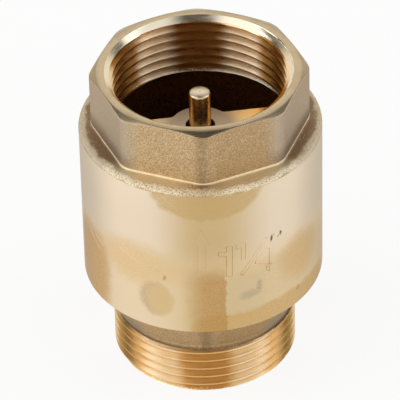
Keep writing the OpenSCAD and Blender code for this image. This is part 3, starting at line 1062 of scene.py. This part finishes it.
LEVEL = 0.98
CROWN_LEVEL = 0.85
HAIR = 0.01 * MM
MARGIN = 0.1 * MM
CROWN_FOOT_Z = SHOULDER_Z + 5 * ROOT_FILLET
MOUTH_FOOT_Z = TOP_Z - 0.8 * MOUTH_DEPTH
BRIDGE_FOOT_Z = HUB_TOP - 12 * MM


def outlet_finish(out, height, up):
    """Finish of the upper casting where its surface lies this far out and this high."""
    if height > SOCKET_Z - MARGIN and out < MOUTH_R - HAIR:
        return mouth_brass if height > MOUTH_FOOT_Z else bore_brass
    if up > CROWN_LEVEL and out > MOUTH_R - MARGIN and height > CROWN_FOOT_Z:
        return faced_brass
    if height > HUB_TOP - MARGIN / 2 and up > LEVEL and out < CORE_R:
        return bridge_brass
    if height > SHOULDER_Z - SHOULDER_ROUND and out > MOUTH_R - MARGIN:
        return blasted_brass
    if out > JOINT_R + MARGIN:
        return turned_brass
    if height > BRIDGE_FOOT_Z and out < CORE_R - 5 * MARGIN:
        return blasted_brass
    return core_brass


paint(casting, [turned_brass, blasted_brass, faced_brass, bridge_brass, mouth_brass, bore_brass,
                core_brass], outlet_finish)
smooth(casting)
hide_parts("outlet_body")
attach(casting, "housing")

# %% [markdown]
# ## Lower casting
#
# The lower half screws into the barrel and carries the outside thread. Between the two lies the
# part that no tool touched: a short cone, still as rough as the sand left it. On the real valve it
# sits slightly off centre, so a small lip shows under the barrel on one side. The outline is turned
# as before, and the cone's rings are pushed sideways a little.

# %% Lower casting
CONE_SHIFT = -0.5 * MM
CONE_SHARES = (0.33, 0.67, 1.0)
FOOT_BEND = 1.2
FOOT_STEPS = 5
ROUNDING = 0.001


def inlet_rows():
    """Outline of the lower casting, from the neck over the cone, the spigot and down the bore."""
    cone_top = BARREL_R - EDGE_BREAK + CONE_SHIFT
    slope = math.degrees(math.atan2(cone_top - NECK_R, JOINT_Z - MALE_LEN - NECK_H))
    rows = [(NECK_R, neck_z)]
    rows += arc(NECK_R + NECK_FILLET, MALE_LEN + NECK_H, NECK_FILLET,
                180, 180 - FOOT_BEND * slope, FOOT_STEPS)
    low_r, low_z = rows[-1]
    for share in CONE_SHARES:
        rows.append((low_r + (cone_top - low_r) * share, low_z + (JOINT_Z - low_z) * share))
    groove = SPIGOT_R - GROOVE_DEPTH
    rows += [(groove, JOINT_Z), (groove, JOINT_Z + GROOVE_W), (SPIGOT_R, JOINT_Z + GROOVE_W)]
    rows += [(SPIGOT_R, SPIGOT_Z - EDGE_BREAK), (SPIGOT_R - EDGE_BREAK, SPIGOT_Z)]
    rows += [(PORT_R + SEAT_W + SEAT_Z - SPIGOT_Z, SPIGOT_Z), (PORT_R + SEAT_W, SEAT_Z)]
    rows += [(PORT_R, SEAT_Z), (PORT_R, SPIGOT_Z), (INLET_R, SPIGOT_Z - PORT_TAPER)]
    rows += [(INLET_R, EDGE_BREAK), (INLET_R + EDGE_BREAK, 0.0)]
    return rows


def inlet_finish(out, height, up):
    """Finish of the lower casting where its surface lies this far out and this high."""
    if out < INLET_R + 2 * MARGIN and height < SPIGOT_Z - PORT_TAPER + 5 * MARGIN:
        return core_brass
    if height < neck_z - MARGIN or height > JOINT_Z:
        return tail_brass
    return blasted_brass


work = bmesh.new()
turn(work, inlet_rows())
for point in work.verts:
    share = (point.co.z - neck_z) / (JOINT_Z - neck_z)
    if 0 < share <= 1 + ROUNDING and point.co.xy.length > NECK_R:
        point.co.x += CONE_SHIFT * share
join_thread(work, tail_thread, 0.0)
tail = new_piece("inlet_casting", to_mesh(work, "inlet_casting"))
paint(tail, [blasted_brass, tail_brass, core_brass], inlet_finish)
smooth(tail)
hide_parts("inlet_tail")
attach(tail, "housing")
print("Lower casting:", len(tail.data.polygons), "faces")

# %% [markdown]
# ## Stem
#
# The stem is a turned rod whose tip stands up in the socket, so it is the first thing that the eye
# finds inside. It shows a crisp chamfer, a flat end and the small dimple of the lathe's centre.

# %% Stem
STEM_R = 2.45 * MM
STEM_CHAMFER = 0.6 * MM
CHAMFER_BEND = (0.12 * MM, 0.25 * MM)
STEM_END_STEP = 0.45 * MM
CENTRE_DOT = 0.22 * MM
FOOT_R = 2.0 * MM
DISC_TOP = 34.1 * MM
COLLAR_R = 4.4 * MM
COLLAR_TOP = 42.8 * MM

work = bmesh.new()
tip = stem_high.z
turn(work, [
    (0.0, stem_low.z), (FOOT_R - EDGE_BREAK, stem_low.z), (FOOT_R, stem_low.z + EDGE_BREAK),
    (FOOT_R, DISC_TOP), (COLLAR_R, DISC_TOP), (COLLAR_R, COLLAR_TOP - EDGE_BREAK),
    (COLLAR_R - EDGE_BREAK, COLLAR_TOP), (STEM_R, COLLAR_TOP), (STEM_R, tip - STEM_CHAMFER),
    (STEM_R - CHAMFER_BEND[0], tip - CHAMFER_BEND[1]), (STEM_R - STEM_END_STEP, tip),
    (CENTRE_DOT, tip), (0.0, tip - CENTRE_DOT)])
close_up(work)
stem = new_piece("stem_rod", to_mesh(work, "stem_rod"))
paint(stem, [rod_brass, rod_end_brass],
      lambda out, height, up: rod_end_brass if up > 0.5 and height > COLLAR_TOP else rod_brass)
smooth(stem, 40)
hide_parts("valve_stem")
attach(stem, "poppet")

# %% [markdown]
# ## Return spring
#
# A compression spring has one dead turn at each end, where the wire lies on itself, and open turns
# between. A straight line with many points is enough to start from: the tree bends it into the coil
# by such a rule of turn and height, then sweeps a round section along it. When the disc lifts, the
# coil shortens towards the hub.

# %% Spring tree
DEAD_TURNS = 1.0
POINTS_PER_TURN = 40
WIRE_SIDES = 14


def make_spring_tree():
    """A coil of round wire, close-wound for one turn at each end."""
    tree = new_tree("compression_spring", [
        ("Coil Radius", "Float"), ("Wire Radius", "Float"), ("Foot", "Float"), ("Height", "Float"),
        ("Open Turns", "Float"), ("Material", "Material")])
    given = add(tree, "NodeGroupInput").outputs
    turns = total(tree, given["Open Turns"], 2 * DEAD_TURNS)
    count = total(tree, product(tree, turns, POINTS_PER_TURN), 1.0)
    line = add(tree, "GeometryNodeCurvePrimitiveLine").outputs[0]
    points = add(tree, "GeometryNodeResampleCurve", {"Curve": line, "Count": count}).outputs[0]
    share = add(tree, "GeometryNodeSplineParameter").outputs["Factor"]
    turned = product(tree, share, turns)
    wire = product(tree, given["Wire Radius"], 2.0)
    dead = product(tree, wire, DEAD_TURNS)
    open_height = minus(tree, given["Height"], product(tree, dead, 2.0))
    opened = add(tree, "ShaderNodeMapRange", {
        "Value": turned, "From Min": DEAD_TURNS, "From Max": minus(tree, turns, DEAD_TURNS),
        "To Min": 0.0, "To Max": open_height}).outputs[0]
    low = math_of(tree, "MINIMUM", product(tree, turned, wire), dead)
    left = minus(tree, turns, turned)
    high = minus(tree, dead, math_of(tree, "MINIMUM", product(tree, left, wire), dead))
    rise = total(tree, low, opened, high)
    angle = product(tree, turned, 2 * math.pi)
    place = add(tree, "ShaderNodeCombineXYZ", {
        0: product(tree, given["Coil Radius"], math_of(tree, "COSINE", angle)),
        1: product(tree, given["Coil Radius"], math_of(tree, "SINE", angle)),
        2: total(tree, given["Foot"], rise)}).outputs[0]
    coil = add(tree, "GeometryNodeSetPosition", {"Geometry": points, "Position": place}).outputs[0]
    section = add(tree, "GeometryNodeCurvePrimitiveCircle",
                  {"Resolution": WIRE_SIDES, "Radius": given["Wire Radius"]}).outputs[0]
    swept = add(tree, "GeometryNodeCurveToMesh",
                {"Curve": coil, "Profile Curve": section, "Fill Caps": True}).outputs[0]
    finish_tree(tree, swept, given)
    return tree


# %% Spring
WIRE_R = 0.4 * MM
OPEN_TURNS = 6.0

spring = grow("spring_coil", make_spring_tree(), {
    "Coil Radius": spring_high.x - WIRE_R, "Wire Radius": WIRE_R, "Foot": spring_low.z + WIRE_R,
    "Height": spring_high.z - spring_low.z - 2 * WIRE_R, "Open Turns": OPEN_TURNS,
    "Material": spring_steel})
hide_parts("return_spring")
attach(spring, "housing")
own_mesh(spring)

# %% [markdown]
# ## Pieces that keep their solids
#
# The disc, its washer, the nut and the two rubber parts are exact as they come, so they only need
# their finishes.

# %% Finishes for the kept solids
KEPT = {"valve_disc": sheet_brass, "clamp_washer": sheet_brass, "clamp_nut": rod_brass,
        "seal_washer": rubber, "joint_ring": rubber}
for name, material in KEPT.items():
    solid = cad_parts[name]
    solid.data.materials.clear()
    solid.data.materials.append(material)
print("Kept:", ", ".join(KEPT))

# %% [markdown]
# ## Studio
#
# Bright metal shows the room more than itself, so the room is the real lamp here. The photo was
# taken in a white tent with a soft panel on each side, a dark ceiling, and a dark gap before the
# pale back wall. The world is a gradient by direction that says just that. Three broad lamps stand
# for the panels and the wall, and a pale floor throws its own light back up at the barrel.

# %% World
# Zones of the room, as parts of a line one unit long that points across, back or up
WORLD_STRENGTH = 1.25
PANELS_MIDDLE = 0.025
LEFT_TO_RIGHT = (-0.1, 0.1)
HORIZON = (0.05, 0.4)
CEILING = (0.68, 0.9)
PANEL_EDGE = (0.16, 0.33)
GAP_FOOT = (0.2, 0.45)
GAP_EDGE = (0.46, 0.62)
BACK_WALL = (0.42, 0.68)


def make_world():
    """A pale room with a bright panel above each side, and darkness between and behind them."""
    world = bpy.data.worlds.new("studio")
    bpy.context.scene.world = world
    world.use_nodes = True
    tree = world.node_tree
    tree.nodes.clear()
    direction = add(tree, "ShaderNodeTexCoord").outputs["Generated"]
    across, back, up = add(tree, "ShaderNodeSeparateXYZ", {0: direction}).outputs
    side = math_of(tree, "ABSOLUTE", minus(tree, across, PANELS_MIDDLE))
    front = blend_colour(tree, ramp(tree, up, *HORIZON), "#8A8176", "#FFFFFF")
    front = blend_colour(tree, ramp(tree, up, *CEILING), front, "#46413B")
    panel = blend_colour(tree, ramp(tree, across, *LEFT_TO_RIGHT), "#FBFCFF", "#D8DBE0")
    front = blend_colour(tree, ramp(tree, side, *PANEL_EDGE), front, panel)
    gap = blend_colour(tree, ramp(tree, up, *GAP_FOOT), "#F4F7FC", "#38332C")
    slant = total(tree, back, product(tree, side, 0.5))
    light = blend_colour(tree, ramp(tree, slant, *GAP_EDGE), front, gap)
    light = blend_colour(tree, ramp(tree, back, *BACK_WALL), light, "#DAD6CE")
    background = add(tree, "ShaderNodeBackground", {"Color": light, "Strength": WORLD_STRENGTH})
    add(tree, "ShaderNodeOutputWorld", {"Surface": background.outputs[0]})


make_world()

# %% Lamps
AIM_Z = 40 * MM


def soft_panel(name, place, size, strength, colour):
    """A square lamp that faces the valve; strength is the brightness of its surface."""
    data = bpy.data.lights.new(name, "AREA")
    data.shape = "SQUARE"
    data.size = size
    data.energy = strength * math.pi * size ** 2
    data.color = linear(colour)[:3]
    lamp = bpy.data.objects.new(name, data)
    lamp.location = place
    aim = Vector((0.0, 0.0, AIM_Z)) - Vector(place)
    lamp.rotation_euler = aim.to_track_quat("-Z", "Y").to_euler()
    bpy.context.scene.collection.objects.link(lamp)


PANEL_WHITE = "#F6F9FF"
soft_panel("left_panel", (-0.75, -0.05, 0.5), 0.6, 1.3, PANEL_WHITE)
soft_panel("right_panel", (0.75, 0.0, 0.5), 0.6, 1.3, PANEL_WHITE)
soft_panel("back_panel", (0.0, 0.8, 0.75), 0.7, 0.4, "#FFFFFF")

# %% Floor
# The floor lies just below the foot, so that the two faces never fight for the same place
FLOOR_HALF = 3.0
FLOOR_Z = -0.2 * MM
SHOWN_WHITE = 0.85


def make_floor():
    """A plain pale floor just below the valve, which keeps the valve's shadow."""
    mesh = bmesh.new()
    bmesh.ops.create_grid(mesh, x_segments=1, y_segments=1, size=FLOOR_HALF,
                          matrix=Matrix.Translation((0, 0, FLOOR_Z)))
    floor = new_piece("floor", to_mesh(mesh, "floor"))
    material = bpy.data.materials.new("pale_paper")
    material.use_nodes = True
    tree = material.node_tree
    tree.nodes.clear()
    paper = add(tree, "ShaderNodeBsdfDiffuse", {"Color": linear("#F8F7F5")})
    white = add(tree, "ShaderNodeEmission", {"Color": (1, 1, 1, 1), "Strength": 1.0})
    path = add(tree, "ShaderNodeLightPath").outputs
    seen = math_of(tree, "MAXIMUM", path["Is Camera Ray"], path["Is Glossy Ray"])
    seen = math_of(tree, "MAXIMUM", seen, path["Is Transmission Ray"])
    share = product(tree, seen, SHOWN_WHITE)
    mixed = add(tree, "ShaderNodeMixShader", {0: share, 1: paper.outputs[0], 2: white.outputs[0]})
    add(tree, "ShaderNodeOutputMaterial", {"Surface": mixed.outputs[0]})
    floor.data.materials.append(material)


make_floor()
bpy.context.scene.view_settings.view_transform = "Standard"
